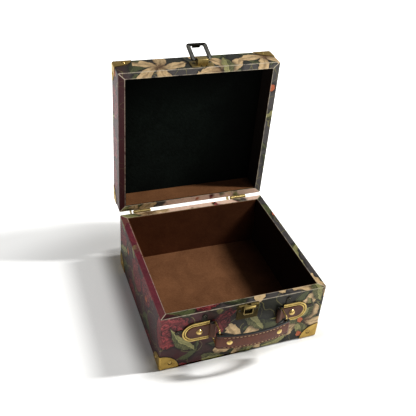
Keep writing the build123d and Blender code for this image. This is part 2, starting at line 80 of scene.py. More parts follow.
# The handle's rings, strap, stitches, mounts and tabs
RING_X = 40.0
RING_INNER_Y = FRONT_Y - 2.9
RING_OUTER_Y = RING_INNER_Y - 16.8
WIRE_BORE = 1.02
STRAP_LOOP = 4.2
STRAP_THICKNESS = 3.3
STRAP_BOW = 5.0
STRAP_HALF = 9.5
STRAP_END_Y = RING_OUTER_Y - STRAP_LOOP
STRAP_RADIUS = (RING_X**2 + STRAP_BOW**2) / (2 * STRAP_BOW)
STRAP_TIP_X = 25.2
STITCH_ROW = STRAP_HALF - 2.3
STITCH_PITCH = 4.4
STITCHES_EACH_WAY = 8
STITCH_HALF = (1.5, 0.42, 0.48)
STITCH_LEAN = 0.07
MOUNT_INNER_X = 45.2
MOUNT_ROUND_X = 62.9
MOUNT_PLATE = 0.8
TAB_LEATHER = 1.6
TAB_LOOP = 2.6
TAB_HALF = 11.0
INLAY_HALF = 8.65
EDGE_PAINT = 0.5

# The camera, fitted to the photograph's corners
PHOTO_PIXELS = 416
FOCAL_PIXELS = 607.51
SENSOR = 36.0
CAMERA_PLACE = Vector((-0.23419, -0.53418, 0.55308))
CAMERA_RIGHT = Vector((0.94109, -0.33133, 0.06755))
CAMERA_UP = Vector((0.13995, 0.56351, 0.81417))


def make_camera():
    data = bpy.data.cameras.new("camera")
    data.sensor_width = SENSOR
    data.lens = FOCAL_PIXELS / PHOTO_PIXELS * SENSOR
    camera = bpy.data.objects.new("camera", data)
    turn = Matrix((CAMERA_RIGHT, CAMERA_UP, CAMERA_RIGHT.cross(CAMERA_UP))).transposed().to_4x4()
    camera.matrix_world = Matrix.Translation(CAMERA_PLACE) @ turn
    bpy.context.scene.collection.objects.link(camera)
    bpy.context.scene.camera = camera


# The lid's turn
def turned_shut(y, z):
    """A direction on the open lid, turned to where it points when the lid is closed."""
    return y * OPEN_COS - z * OPEN_SIN, y * OPEN_SIN + z * OPEN_COS


def shut_place(y, z):
    """A place on the open lid, moved to where it is when the lid is closed."""
    dy, dz = turned_shut(y - HINGE_Y, z - HINGE_Z)
    return HINGE_Y + dy, HINGE_Z + dz


def opened_y(y, z):
    """The y that a place on the closed lid has when the lid is open."""
    return HINGE_Y + (y - HINGE_Y) * OPEN_COS + (z - HINGE_Z) * OPEN_SIN


# Node materials
class Signal:
    """A value inside a material, with arithmetic."""

    def __init__(self, graph, socket):
        self.graph = graph
        self.socket = socket

    def __add__(self, other):
        return self.graph.math("ADD", self, other)

    def __sub__(self, other):
        return self.graph.math("SUBTRACT", self, other)

    def __rsub__(self, other):
        return self.graph.math("SUBTRACT", other, self)

    def __mul__(self, other):
        return self.graph.math("MULTIPLY", self, other)

    def __truediv__(self, other):
        return self.graph.math("DIVIDE", self, other)

    def __pow__(self, other):
        return self.graph.math("POWER", self, other)

    def __gt__(self, other):
        return self.graph.math("GREATER_THAN", self, other)

    def __lt__(self, other):
        return self.graph.math("LESS_THAN", self, other)

    def __abs__(self):
        return self.graph.math("ABSOLUTE", self)

    __radd__ = __add__
    __rmul__ = __mul__


class Graph:
    """A material whose nodes are made by short calls. Lengths in it are millimetres."""

    def __init__(self, name):
        self.material = bpy.data.materials.new(name)
        self.material.use_nodes = True
        self.tree = self.material.node_tree
        self.tree.nodes.clear()
        self.shader = self.tree.nodes.new("ShaderNodeBsdfPrincipled")
        output = self.tree.nodes.new("ShaderNodeOutputMaterial")
        self.tree.links.new(self.shader.outputs[0], output.inputs[0])

    def put(self, socket, value):
        if isinstance(value, Signal):
            self.tree.links.new(value.socket, socket)
        elif isinstance(value, tuple) and socket.type == "RGBA":
            socket.default_value = (*value[:3], 1.0)
        elif value is not None:
            socket.default_value = value

    def node(self, kind, settings=None, **inputs):
        made = self.tree.nodes.new(kind)
        for key, value in (settings or {}).items():
            setattr(made, key, value)
        for key, value in inputs.items():
            self.put(made.inputs[key.replace("_", " ")], value)
        return made

    def math(self, operation, *values, clamp=False):
        made = self.tree.nodes.new("ShaderNodeMath")
        made.operation = operation
        made.use_clamp = clamp
        for socket, value in zip(made.inputs, values):
            self.put(socket, value)
        return Signal(self, made.outputs[0])

    def most(self, first, *others):
        """The greatest of some values."""
        for other in others:
            first = self.math("MAXIMUM", first, other)
        return first

    def least(self, first, second):
        return self.math("MINIMUM", first, second)

    def length(self, across, up):
        return self.math("SQRT", across * across + up * up)

    def pack(self, x, y, z=0.0):
        made = self.node("ShaderNodeCombineXYZ", X=x, Y=y, Z=z)
        return Signal(self, made.outputs[0])

    def split(self, vector):
        made = self.node("ShaderNodeSeparateXYZ", Vector=vector)
        return [Signal(self, made.outputs[axis]) for axis in "XYZ"]

    def place(self):
        """The object's own x, y and z at rest."""
        made = self.tree.nodes.new("ShaderNodeTexCoord")
        return [axis * 1000.0 for axis in self.split(Signal(self, made.outputs["Object"]))]

    def normal(self):
        made = self.tree.nodes.new("ShaderNodeTexCoord")
        return self.split(Signal(self, made.outputs["Normal"]))

    def noise(self, vector, scale, detail=2.0, roughness=0.5, distortion=0.0):
        made = self.node("ShaderNodeTexNoise", Vector=vector, Scale=scale, Detail=detail,
                         Roughness=roughness, Distortion=distortion)
        return Signal(self, made.outputs["Fac"])

    def step(self, value, low, high, to_low=0.0, to_high=1.0):
        """A smooth step of value from low to high."""
        made = self.node("ShaderNodeMapRange", {"interpolation_type": "SMOOTHSTEP"}, Value=value,
                         From_Min=low, From_Max=high, To_Min=to_low, To_Max=to_high)
        return Signal(self, made.outputs["Result"])

    def either(self, factor, when_zero, when_one):
        """A number mixed by factor."""
        return self.math("MULTIPLY_ADD", factor, self.math("SUBTRACT", when_one, when_zero), when_zero)

    def mix(self, factor, low, high, mode="MIX"):
        made = self.tree.nodes.new("ShaderNodeMix")
        made.data_type = "RGBA"
        made.blend_type = mode
        sockets = [socket for socket in made.inputs if socket.type == "RGBA"]
        self.put(made.inputs[0], factor)
        self.put(sockets[0], low)
        self.put(sockets[1], high)
        result = [socket for socket in made.outputs if socket.type == "RGBA"][0]
        return Signal(self, result)

    def shade(self, tone, dark, light):
        """A colour from dark to light, by a tone that may run over either end."""
        return self.mix(self.math("ADD", tone, 0.0, clamp=True), dark, light)

    def bump(self, height, distance, strength=1.0):
        made = self.node("ShaderNodeBump", Height=height, Distance=distance * MM, Strength=strength)
        return Signal(self, made.outputs["Normal"])

    def worn_edge(self, radius):
        """About 1 on sharp edges and 0 on flat faces."""
        bevel = self.node("ShaderNodeBevel", {"samples": 6}, Radius=radius * MM)
        true = self.tree.nodes.new("ShaderNodeNewGeometry")
        made = self.tree.nodes.new("ShaderNodeVectorMath")
        made.operation = "DOT_PRODUCT"
        self.tree.links.new(bevel.outputs[0], made.inputs[0])
        self.tree.links.new(true.outputs["Normal"], made.inputs[1])
        return self.step(Signal(self, made.outputs["Value"]), 0.99, 0.85)

    def finish(self, **inputs):
        for key, value in inputs.items():
            self.put(self.shader.inputs[key.replace("_", " ")], value)
        return self.material


def dress(material, *names):
    for name in names:
        mesh = nodes[name].data
        mesh.materials.clear()
        mesh.materials.append(material)


# Printed covering. Pairs are a dark and a light colour
CHARCOAL = (0.026, 0.023, 0.020)
DEEP_GREEN = (0.034, 0.036, 0.027)
MAUVE = (0.062, 0.027, 0.031)
MAROON = (0.080, 0.013, 0.019)
SLATE = (0.045, 0.040, 0.043), (0.15, 0.135, 0.14)
STEM = (0.20, 0.185, 0.075)
INK = (0.006, 0.006, 0.005)
STROKES = (0.55, 0.55, 0.55), (1.50, 1.46, 1.40)
BASE_WINE = (0.070, 0.014, 0.022), (0.28, 0.068, 0.092)
# The lid's wine is darker than the base's, with painted shade in it
SHADED_LID_WINE = (0.013, 0.002, 0.003), (0.080, 0.012, 0.016)
PEACH = (0.60, 0.36, 0.26), (1.0, 0.80, 0.66)
# Pale seams, and pale edges that are partly rubbed print and partly painted highlight
SEAM_AND_HIGHLIGHT = (0.66, 0.58, 0.45)
# The colour of shade painted along the brass corners, the base's foot and in the catch's window
PAINTED_SHADE = (0.010, 0.008, 0.005)

# How far outside a motif every point of a cell without one is
OUTSIDE = 99.0


def motif_cells(graph, s, t, size, seed, spread):
    """Random cells about size across: a place in each, turned at random, and two random numbers."""
    point = graph.pack(s / size + seed, t / size + 1.7 * seed)
    cell = graph.node("ShaderNodeTexVoronoi", {"voronoi_dimensions": "2D"}, Vector=point, Scale=1.0,
                      Randomness=spread)
    from_x, from_y, _ = graph.split(Signal(graph, cell.outputs["Position"]))
    at_x, at_y, _ = graph.split(point)
    dx = (at_x - from_x) * size
    dy = (at_y - from_y) * size
    turn, first, second = graph.split(Signal(graph, cell.outputs["Color"]))
    angle = turn * (2 * math.pi)
    cosine = graph.math("COSINE", angle)
    sine = graph.math("SINE", angle)
    return dx * cosine + dy * sine, dy * cosine - dx * sine, first, second


def leaf(graph, s, t, size, seed, length, width, colors, chance):
    """Bent leaves with a midrib and side veins: how far inside one a point is, and its colour."""
    u, v, first, second = motif_cells(graph, s, t, size, seed, 0.75)
    bend = (second - 0.5) * 1.7
    v = v + bend * (u * u / length - 0.35 * length)
    along = u / length
    half = width * (1.0 - along * along) * (1.0 + 0.45 * along)
    rough = graph.noise(graph.pack(u, v, first * 9.0), 0.3, 2.0)
    inside = half * (0.78 + 0.44 * rough) - abs(v) - (first > chance) * OUTSIDE
    cloud = graph.noise(graph.pack(u * 0.3, v, second * 7.0), 0.4, 3.0, 0.6)
    side = graph.step(v, -0.8, 0.8)
    veins = graph.step(graph.math("SINE", (u - abs(v) * 0.8) * 1.7), 0.7, 1.0)
    tone = cloud * 0.9 + side * 0.42 + veins * 0.2 + graph.step(abs(v), 0.55, 0.15) * 0.45
    tone = tone - 0.38 - graph.step(inside, 1.4, 0.0) * 0.18 + second * 0.2
    return inside, graph.shade(tone, *colors)


def rose(graph, s, t, size, seed, radius, colors, chance):
    """Full blossoms of ruffled petals in rings."""
    u, v, first, second = motif_cells(graph, s, t, size, seed, 0.6)
    r = graph.length(u, v)
    theta = graph.math("ARCTAN2", v, u)
    ruffle = graph.noise(graph.pack(u / (r + 0.1), v / (r + 0.1), first * 11.0), 2.6, 3.0, 0.6)
    reach = radius * (0.62 + 0.62 * ruffle) * (0.85 + 0.3 * second)
    inside = reach - r - (first > chance) * OUTSIDE
    wobble = graph.noise(graph.pack(u, v, second * 5.0), 0.16, 3.0, 0.6)
    ring = r / reach * 3.8 + theta / (2 * math.pi) + wobble * 2.1
    layer = graph.math("FLOOR", ring)
    petal = graph.math("FRACT", ring + 0.3 * graph.math("SINE", theta * 3.0 + layer * 2.3))
    fine = graph.noise(graph.pack(u, v, first * 3.0), 0.7, 3.0, 0.7)
    broad = graph.noise(graph.pack(u, v, second * 8.0), 0.07, 1.0)
    tone = petal ** 1.7 * 0.8 + (fine - 0.5) * 0.6 + (broad - 0.45) * 0.9
    return inside, graph.shade(tone, *colors)


def lily(graph, s, t, size, seed, radius, colors, chance):
    """Open blossoms with long pointed petals."""
    u, v, first, second = motif_cells(graph, s, t, size, seed, 0.65)
    r = graph.length(u, v)
    theta = graph.math("ARCTAN2", v, u) + (r / radius) * (second - 0.5) * 1.7
    lobe = abs(graph.math("COSINE", theta * 2.5))
    wave = graph.noise(graph.pack(u, v, first * 13.0), 0.11, 1.5)
    reach = radius * (0.26 + 0.78 * lobe ** 1.3) * (0.62 + 0.7 * wave)
    inside = reach - r - (first > chance) * OUTSIDE
    fibre = graph.noise(graph.pack(lobe * 9.0, r * 0.14, second * 5.0), 1.1, 3.0, 0.6)
    broad = graph.noise(graph.pack(u, v, second * 8.0), 0.11, 2.0)
    tone = 0.08 + 0.95 * fibre + (broad - 0.5) * 1.5 + graph.step(lobe, 0.2, 0.9) * 0.3
    tone = tone - graph.step(r, radius * 0.5, 0.0) * 0.6 - graph.step(inside, 1.8, 0.0) * 0.35
    tone = tone - graph.step(lobe, 0.975, 0.998) * 0.35
    return inside, graph.shade(tone, *colors)


def unrolled(graph, in_lid, flat_top):
    """A place on the unrolled covering, s along and t up, folded over the case's edges. Its insets are how far it is
    from the case's side and from its front or back."""
    x, y, z = graph.place()
    nx, ny, nz = graph.normal()
    if in_lid:
        y, z = shut_place(y, z)
        ny, nz = turned_shut(ny, nz)
    at = SimpleNamespace(z=z, nz=nz, in_lid=in_lid)
    at.inset_x = HALF_WIDTH - abs(x)
    at.inset_y = HALF_DEPTH - abs(y)
    at.by_side = at.inset_x < at.inset_y
    if flat_top:
        at.s, at.t, at.on_end = x, y + 500.0, 0.0
        return at
    at.on_end = abs(nz) > 0.7
    on_side = graph.either(at.on_end, abs(nx) > abs(ny), at.by_side)
    side_s = (y + HALF_DEPTH + HALF_WIDTH) * ((x > 0.0) * 2.0 - 1.0)
    front_s = graph.either(y > 0.0, x, HALF_ROUND - x)
    at.s = graph.either(on_side, front_s, side_s)
    inset = graph.either(on_side, at.inset_y, at.inset_x)
    at.t = z + at.on_end * inset * graph.math("SIGN", nz)
    return at


def printed(graph, at, seed):
    """The print's colour: the ground, then stems, then layers of leaves and blossoms."""
    warp_s = at.s + (graph.noise(at.flat, 0.11, 3.0) - 0.5) * 7.0
    warp_t = at.t + (graph.noise(graph.pack(at.t, at.s, seed + 4.0), 0.11, 3.0) - 0.5) * 7.0
    cloud = graph.step(graph.noise(at.flat, 0.045, 3.0, 0.6), 0.35, 0.65)
    ground = graph.mix(cloud, CHARCOAL, DEEP_GREEN)
    color = graph.mix(at.to_left * 0.85, ground, graph.mix(cloud, MAUVE, MAROON))
    color = graph.mix(at.on_end * (1.0 - at.to_left) * 0.6, color, graph.mix(at.fine, *SLATE))

    curl = graph.noise(graph.pack(warp_s, warp_t, seed + 2.0), 0.021, 1.0, 0.4)
    twig = graph.noise(graph.pack(warp_t, warp_s, seed + 8.0), 0.027, 1.0, 0.4)
    stem = graph.most(graph.step(abs(curl - 0.5), 0.0085, 0.004), graph.step(abs(twig - 0.52), 0.007, 0.003))
    color = graph.mix(stem * 0.85, color, STEM)

    # Each layer's chance goes from its value on the right to its value on the left
    spot = graph, warp_s, warp_t
    layers = [
        leaf(*spot, size=37.0, seed=seed + 0.31, length=22.0, width=9.0,
             colors=((0.011, 0.015, 0.008), (0.13, 0.145, 0.062)), chance=graph.either(at.to_left, 0.85, 0.36)),
        rose(*spot, size=60.0, seed=seed + 0.77, radius=24.0,
             colors=((0.040, 0.006, 0.009), (0.38, 0.070, 0.075)), chance=graph.either(at.to_left, 0.20, 0.97)),
        lily(*spot, size=66.0, seed=seed + 5.13, radius=34.0, colors=((0.10, 0.052, 0.024), (0.66, 0.49, 0.28)),
             chance=graph.either(at.to_left, 0.80, 0.0) * (1.0 - at.by_side * at.on_end * 0.6)),
        leaf(*spot, size=43.0, seed=seed + 9.4, length=26.0, width=7.0,
             colors=((0.040, 0.046, 0.020), (0.42, 0.40, 0.18)), chance=graph.either(at.to_left, 0.62, 0.12)),
        rose(*spot, size=23.0, seed=seed + 3.2, radius=5.0,
             colors=((0.30, 0.055, 0.025), (0.80, 0.28, 0.10)), chance=0.06),
    ]
    for inside, paint in layers:
        color = graph.mix(graph.step(inside, -5.0, 0.5) * 0.72, color, INK)
        color = graph.mix(graph.step(inside, 0.0, 0.7), color, paint)
    return graph.mix(1.0, color, graph.mix(at.fine, *STROKES), "MULTIPLY")


def tint_rims(graph, at, color):
    """Maroon blossoms cover most of the left rims, and peach ones most of the back rims."""
    # On the lid the wine is darker, as painted shade
    wine = graph.mix(at.fine, *(SHADED_LID_WINE if at.in_lid else BASE_WINE))
    left_rim = at.by_side * at.on_end * at.to_left
    color = graph.mix(left_rim * graph.step(at.patchy, 0.3, 0.5, 0.4, 0.85), color, wine)
    back_x = HALF_ROUND - at.s + (at.patchy - 0.5) * 60.0
    back_rim = graph.step(back_x, -52.0, -46.0) * (at.s > HALF_WIDTH + 2 * HALF_DEPTH) * at.on_end
    blossoms = graph.step(graph.noise(at.flat, 0.035, 2.0), 0.40, 0.47) * 0.92
    return graph.mix(back_rim * blossoms, color, graph.mix(at.fine, *PEACH))


def worn_and_highlit_edges(graph, at):
    """Pale lines: the rims' mitre seams, and lines along the rims' edges and the case's upright edges that are
    partly rubbed-off print and partly painted highlight.
    """
    patchy = at.patchy
    inset = graph.least(at.inset_x, at.inset_y)
    rim = at.nz < -0.7 if at.in_lid else at.nz > 0.7
    less_by_side = 1.0 - at.by_side * 0.85
    mitre = graph.step(abs(at.inset_x - at.inset_y), 1.0, 0.35) * at.on_end * graph.step(patchy, 0.25, 0.5)
    fold = graph.step(inset, 1.3, 0.3) * rim * graph.step(patchy, 0.22, 0.6) * less_by_side
    inner = graph.step(abs(inset - WALL + 0.5), 0.6, 0.2) * rim * graph.step(patchy, 0.3, 0.55)
    from_rim = abs(at.z - (LID_RIM if at.in_lid else BASE_TOP))
    below = graph.step(from_rim, 1.0, 0.2) * (1.0 - at.on_end) * graph.step(patchy, 0.3, 0.7) * less_by_side
    post = graph.step(graph.most(at.inset_x, at.inset_y), 1.5, 0.7) * graph.step(patchy, 0.42, 0.75)
    return graph.most(mitre * 0.8, fold * 0.75, below * 0.6, inner * 0.5, post * 0.15)


def painted_shade_places(graph, at):
    """Painted shade: a dark line along the brass corners' edges, and on the base a contact shadow along its foot and
    shade in the catch's window.
    """
    height = LID_TOP - at.z if at.in_lid else at.z
    rise = LID_CORNER_RISE if at.in_lid else BASE_CORNER_RISE
    across = graph.most(at.inset_x, at.inset_y)
    oval = graph.length(across / CORNER_REACH, height / rise)
    round_corner = graph.step(oval, 1.11, 1.01) * (1.0 - at.on_end)
    if at.in_lid:
        return round_corner
    foot = graph.step(at.z, 1.6, 0.5)
    window = graph.step(abs(at.s - FITTING_X), 5.6, 5.0) * graph.step(abs(at.z - CATCH_WINDOW_Z), 5.8, 5.2)
    return graph.most(round_corner, foot, window)


def print_material(name, seed, in_lid=False, flat_top=False):
    """A dark botanical print on a grained paper leatherette."""
    graph = Graph(name)
    at = unrolled(graph, in_lid, flat_top)
    at.flat = graph.pack(at.s, at.t, seed)
    at.fine = graph.noise(graph.pack(at.s * 0.35, at.t, seed), 1.1, 4.0, 0.7)
    at.patchy = graph.noise(at.flat, 0.16, 4.0, 0.7)
    # The base is maroon from its front's middle leftwards, the lid from its left side on
    wander, first, full = (40.0, -72.0, -112.0) if in_lid else (90.0, 10.0, -75.0)
    at.to_left = graph.step(at.s + (graph.noise(at.flat, 0.03, 1.0) - 0.5) * wander, first, full)

    color = printed(graph, at, seed)
    if not flat_top:
        color = tint_rims(graph, at, color)
        # Seams, and edges that are partly rubbed and partly given a painted highlight
        color = graph.mix(worn_and_highlit_edges(graph, at), color, SEAM_AND_HIGHLIGHT)
        # Painted shade along the brass corners, the base's foot and in the catch's window
        color = graph.mix(painted_shade_places(graph, at) * 0.88, color, PAINTED_SHADE)
    grain = graph.noise(at.flat, 1.6, 2.0, 0.6)
    roughness = graph.step(at.fine, 0.2, 0.8, 0.5, 0.38)
    return graph.finish(Base_Color=color, Roughness=roughness, Normal=graph.bump(grain, 0.22, 0.55),
                        Specular_IOR_Level=0.3)


# Suede
def suede(name, dark, light, specular, in_lid=False, on_panel=False):
    """Brushed nap: soft clouds, scuffs that cross each other and a fine grain, with painted shade on some walls."""
    graph = Graph(name)
    x, y, z = graph.place()
    where = graph.pack(x, y, z)
    slant = graph.pack(x * 0.9 + y * 0.6 + z * 0.6, y * 0.32 - x * 0.2, z * 0.32)
    streak = graph.noise(slant, 0.8, 4.0, 0.65)
    counter = graph.noise(graph.pack(x * 0.2 + z * 0.25, y + x * 0.8, z - x * 0.7), 0.75, 4.0, 0.7)
    cloud = graph.noise(where, 0.028, 3.0, 0.6, 0.6)
    grain = graph.noise(where, 2.4, 2.0, 0.7)
    scuff = graph.step(streak, 0.60, 0.72) * graph.step(cloud, 0.35, 0.7)
    tone = streak * 0.5 + counter * 0.5 + cloud * 0.75 + grain * 0.55 - 0.67 + scuff * 0.15
    if on_panel:
        tone = tone + (streak - 0.43) * 1.1 + (counter - 0.43) * 0.6
    color = graph.shade(tone, dark, light)

    # Painted shade darkens the right wall, and in the lid the lining's cut edge too
    nx, ny, _ = graph.normal()
    if in_lid:
        shaded = graph.step(graph.least(nx, ny), -0.6, -0.9) * 0.97
    else:
        # Painted shade: what faces the front, such as the base's back wall, is made darker and redder, and the right
        # wall's cut edge dark
        color = graph.mix(graph.step(ny, -0.6, -0.9), color, (0.60, 0.47, 0.38), "MULTIPLY")
        shaded_cut_edge = graph.step(x, 88.0, 90.0) * (z > 60.0)
        shaded = graph.most(graph.step(nx, -0.6, -0.9) * 0.88, shaded_cut_edge * 0.8)
    color = graph.mix(shaded, color, (0.004, 0.002, 0.001))
    if on_panel:
        # Painted shadow: the panel is darker towards the top and the right
        flat = graph.most(graph.step(z, 200.0, 262.0), graph.step(x, 0.0, 72.0))
        color = graph.mix(flat * 0.8, color, (0.0003, 0.0006, 0.0004))
    height = grain * 0.7 + streak * 0.8 + counter * 0.5
    return graph.finish(Base_Color=color, Roughness=0.95, Specular_IOR_Level=specular,
                        Normal=graph.bump(height, 0.4, 0.6), Sheen_Weight=0.04, Sheen_Roughness=0.5)


# Metals
def brass_material(name, bright, tarnish, roughness, wear, brushed=1.0, darkening=None):
    """Aged brass: brushed faces, tarnish in clouds and rubbed bright edges. Darkening gives a graph's dark places,
    among them painted shade.
    """
    graph = Graph(name)
    x, y, z = graph.place()
    where = graph.pack(x, y, z)
    cloud = graph.noise(where, 0.16, 4.0, 0.65)
    speck = graph.noise(where, 1.4, 3.0, 0.7)
    brush = graph.noise(graph.pack(x * 0.12, y * 0.5, z * 3.0), 1.2, 3.0, 0.7)
    dull = graph.step(cloud * 0.65 + speck * 0.35, 0.36, 0.72)
    color = graph.mix(dull * 0.7, bright, tarnish)
    edge = graph.worn_edge(0.45) * wear
    color = graph.mix(edge, color, (0.86, 0.68, 0.36))
    rough = graph.either(edge, roughness + dull * 0.18 + (brush - 0.5) * 0.12, 0.22)
    # Darker places, among them painted shade
    if darkening:
        dark = darkening(graph, x, y, z)
        color = graph.mix(dark, color, (0.020, 0.014, 0.006))
        rough = graph.either(dark, rough, 0.7)
    height = brush * brushed + speck * 0.5
    return graph.finish(Base_Color=color, Metallic=1.0, Roughness=rough, Normal=graph.bump(height, 0.05, 0.5))


def base_nail_shade(graph, x, y, z):
    """Painted shade round the base's corner nails."""
    height = z - BASE_NAIL_Z
    rings = [graph.length(half - abs(along) - NAIL_INSET, height)
             for half, along in ((HALF_WIDTH, x), (HALF_DEPTH, y))]
    return graph.most(*(graph.step(ring, 2.9, 2.2) for ring in rings)) * 0.9


def lid_nail_shade(graph, x, y, z):
    """The same on the lid, whose nails are measured from its top."""
    y, z = shut_place(y, z)
    return base_nail_shade(graph, x, y, LID_TOP - z - LID_NAIL_DROP + BASE_NAIL_Z)


def sunk_darkening(depth, bright, amount):
    """Darkens what lies deeper than depth over the front board. It fades out towards bright."""
    def darkening(graph, x, y, z):
        return graph.step(y, FRONT_Y - bright, FRONT_Y - depth) * amount
    return darkening


def latch_plate_shade(graph, x, y, z):
    """Painted shade on the latch plate's lower and left edges and faces."""
    nx, ny, _ = graph.normal()
    return graph.step(graph.least(nx, ny), -0.5, -0.85) * 0.6


def bronze_material(name, dark, light, on_link=False):
    """Dark steel with a brown finish, brushed, with darker edges; on the link, painted shade on its sides, the
    borders of its legs and its end bar.
    """
    graph = Graph(name)
    x, y, z = graph.place()
    brush = graph.noise(graph.pack(x * 2.6, y * 0.22, z * 0.22), 1.0, 3.0, 0.7)
    cloud = graph.noise(graph.pack(x, y, z), 0.25, 3.0, 0.6)
    color = graph.mix(graph.step(cloud * 0.6 + brush * 0.5, 0.35, 0.75), dark, light)
    browned_and_shaded = graph.worn_edge(0.35) * 0.7
    if on_link:
        # Painted shade on its sides, on the borders of its legs and on its end bar
        nx, _, _ = graph.normal()
        border = graph.step(abs(abs(x - FITTING_X - LINK_SHIFT) - LINK_LEG_X), 1.35, 1.8)
        end_bar = graph.step(y, LINK_BAR_Y, LINK_BAR_Y + 1.0)
        browned_and_shaded = graph.most(browned_and_shaded, border, graph.step(abs(nx), 0.35, 0.7), end_bar)
    color = graph.mix(browned_and_shaded * 0.9, color, (0.014, 0.012, 0.008))
    return graph.finish(Base_Color=color, Metallic=0.85, Roughness=0.36 + (brush - 0.5) * 0.2,
                        Normal=graph.bump(brush, 0.05, 0.4))


def screw_material(name, places, plane):
    """Blackened steel screws with a cross recess in each head, bumped in and painted dark as shade. Plane names the
    two axes across the head.
    """
    graph = Graph(name)
    axes = dict(zip("xyz", graph.place()))
    first, second = (axes[axis] for axis in plane)
    crosses = []
    for at_first, at_second in places:
        u = abs(first - at_first)
        v = abs(second - at_second)
        crosses.append(graph.step(graph.least(u, v), 0.34, 0.2) * graph.step(graph.most(u, v), 1.15, 0.95))
    recess = graph.most(*crosses)
    speck = graph.noise(graph.pack(*axes.values()), 1.3, 3.0, 0.7)
    color = graph.mix(speck, (0.045, 0.042, 0.034), (0.13, 0.115, 0.085))
    # Painted shade in the cross recess
    color = graph.mix(recess, color, (0.006, 0.005, 0.004))
    return graph.finish(Base_Color=color, Metallic=0.8, Roughness=0.34,
                        Normal=graph.bump(speck * 0.1 - recess, 0.35, 0.8))


# Leather, board and felt
def leather_material(name, dark, light, rows=()):
    """Waxed leather with a pebbled grain, creases and rubbed edges. Rows are the heights of sewn lines."""
    graph = Graph(name)
    x, y, z = graph.place()
    where = graph.pack(x, y, z)
    cell = graph.node("ShaderNodeTexVoronoi", {"feature": "DISTANCE_TO_EDGE"}, Vector=where, Scale=1.1,
                      Randomness=1.0)
    pebble = graph.step(Signal(graph, cell.outputs["Distance"]), 0.0, 0.22)
    crease = graph.noise(graph.pack(x, y, z * 0.35), 0.33, 4.0, 0.7, 0.6)
    cloud = graph.noise(where, 0.07, 3.0, 0.6)
    tone = cloud * 0.9 + crease * 0.5 + pebble * 0.12 - 0.32
    for row in rows:
        tone = tone - graph.step(abs(z - row), 1.4, 0.2) * 0.3
    height = pebble * 0.35 + graph.step(crease, 0.35, 0.6) * 0.4
    rough = graph.step(cloud, 0.3, 0.7, 0.30, 0.44)
    return graph.finish(Base_Color=graph.shade(tone, dark, light), Roughness=rough,
                        Normal=graph.bump(height, 0.12, 0.6), Specular_IOR_Level=0.28)


def mottled_material(name, noise, dark, light, roughness, depth, strength):
    """One noise that colours a surface and makes it uneven, for felt, fibreboard and edge paint."""
    graph = Graph(name)
    fibre = graph.noise(graph.pack(*graph.place()), *noise)
    return graph.finish(Base_Color=graph.mix(fibre, dark, light), Roughness=roughness,
                        Normal=graph.bump(fibre, depth, strength))


def thread_material():
    """Twisted waxed thread."""
    graph = Graph("thread")
    x, _, z = graph.place()
    twist = graph.math("SINE", (x + z * 0.8) * 9.0)
    color = graph.mix(twist * 0.5 + 0.5, (0.30, 0.19, 0.09), (0.52, 0.36, 0.19))
    return graph.finish(Base_Color=color, Roughness=0.6, Normal=graph.bump(twist, 0.06, 0.6))


def dress_slots():
    """Give every node its slot's material."""
    looks = {
        "mdf": mottled_material("fibreboard", (1.8, 4.0, 0.7), (0.50, 0.36, 0.22), (0.70, 0.55, 0.37),
                                0.85, 0.1, 0.4),
        "bottom_felt": mottled_material("bottom felt", (1.5, 4.0, 0.8, 0.8), (0.012, 0.012, 0.012),
                                        (0.055, 0.054, 0.052), 0.95, 0.3, 0.6),
        "brown_suede": suede("brown suede", (0.085, 0.036, 0.016), (0.33, 0.162, 0.080), 0.08),
        "black_suede": suede("black suede", (0.0004, 0.0008, 0.0007), (0.021, 0.039, 0.039), 0.06, on_panel=True),
        "brass": brass_material("brass", (0.56, 0.39, 0.13), (0.24, 0.155, 0.05), 0.32, 0.7),
        "dark_bronze": bronze_material("dark bronze", (0.020, 0.018, 0.014), (0.050, 0.046, 0.036)),
        "brown_leather": leather_material("brown leather", (0.075, 0.024, 0.012), (0.27, 0.105, 0.058)),
        "printed_covering": print_material("printed covering base", 3.0),
    }
    for part in frame["record"]["subparts"]:
        dress(looks[part["material_slot"]], part["node"])


def dress_own():
    """Give some nodes a material of their own in place of their slot's."""
    dress(print_material("printed covering lid", 29.0, in_lid=True), "lid_side_wrap")
    dress(print_material("printed covering top", 40.0, in_lid=True, flat_top=True), "lid_top_sheet")
    dress(suede("brown lid suede", (0.070, 0.029, 0.012), (0.285, 0.138, 0.062), 0.08, in_lid=True),
          "lid_wall_lining")
    # The corners get painted shade round their nails
    for case, darkening in (("base", base_nail_shade), ("lid", lid_nail_shade)):
        corner = brass_material(f"{case} corner brass", (0.50, 0.345, 0.105), (0.27, 0.175, 0.05), 0.34, 0.5,
                                darkening=darkening)
        dress(corner, *(f"{case}_corner_{end}_{side}" for end in ("front", "back") for side in ("left", "right")))
    dress(brass_material("catch brass", (0.42, 0.32, 0.125), (0.16, 0.115, 0.04), 0.32, 0.9,
                         darkening=sunk_darkening(1.0, 1.6, 0.78)), "catch_plate")
    # The latch plate gets painted shade on its lower and left faces
    dress(brass_material("latch brass", (0.56, 0.43, 0.18), (0.18, 0.13, 0.05), 0.30, 0.8, darkening=latch_plate_shade),
          "latch_plate")
    dress(brass_material("mount brass", (0.57, 0.425, 0.16), (0.27, 0.19, 0.07), 0.24, 0.5, 0.3,
                         sunk_darkening(1.35, 1.75, 0.92)), "mount_left_rim", "mount_right_rim")
    dress(brass_material("hinge brass", (0.44, 0.34, 0.15), (0.13, 0.095, 0.035), 0.32, 0.8),
          "hinge_left_base_leaf", "hinge_right_base_leaf", "hinge_left_lid_leaf", "hinge_right_lid_leaf")
    dress(brass_material("bright brass", (0.70, 0.52, 0.21), (0.30, 0.20, 0.075), 0.22, 0.4, 0.3),
          "mount_rivets", "handle_rivets", "ring_left", "ring_right", "hinge_left_pin", "hinge_right_pin")
    dress(bronze_material("link bronze", (0.15, 0.147, 0.13), (0.27, 0.265, 0.235), on_link=True), "latch_link")


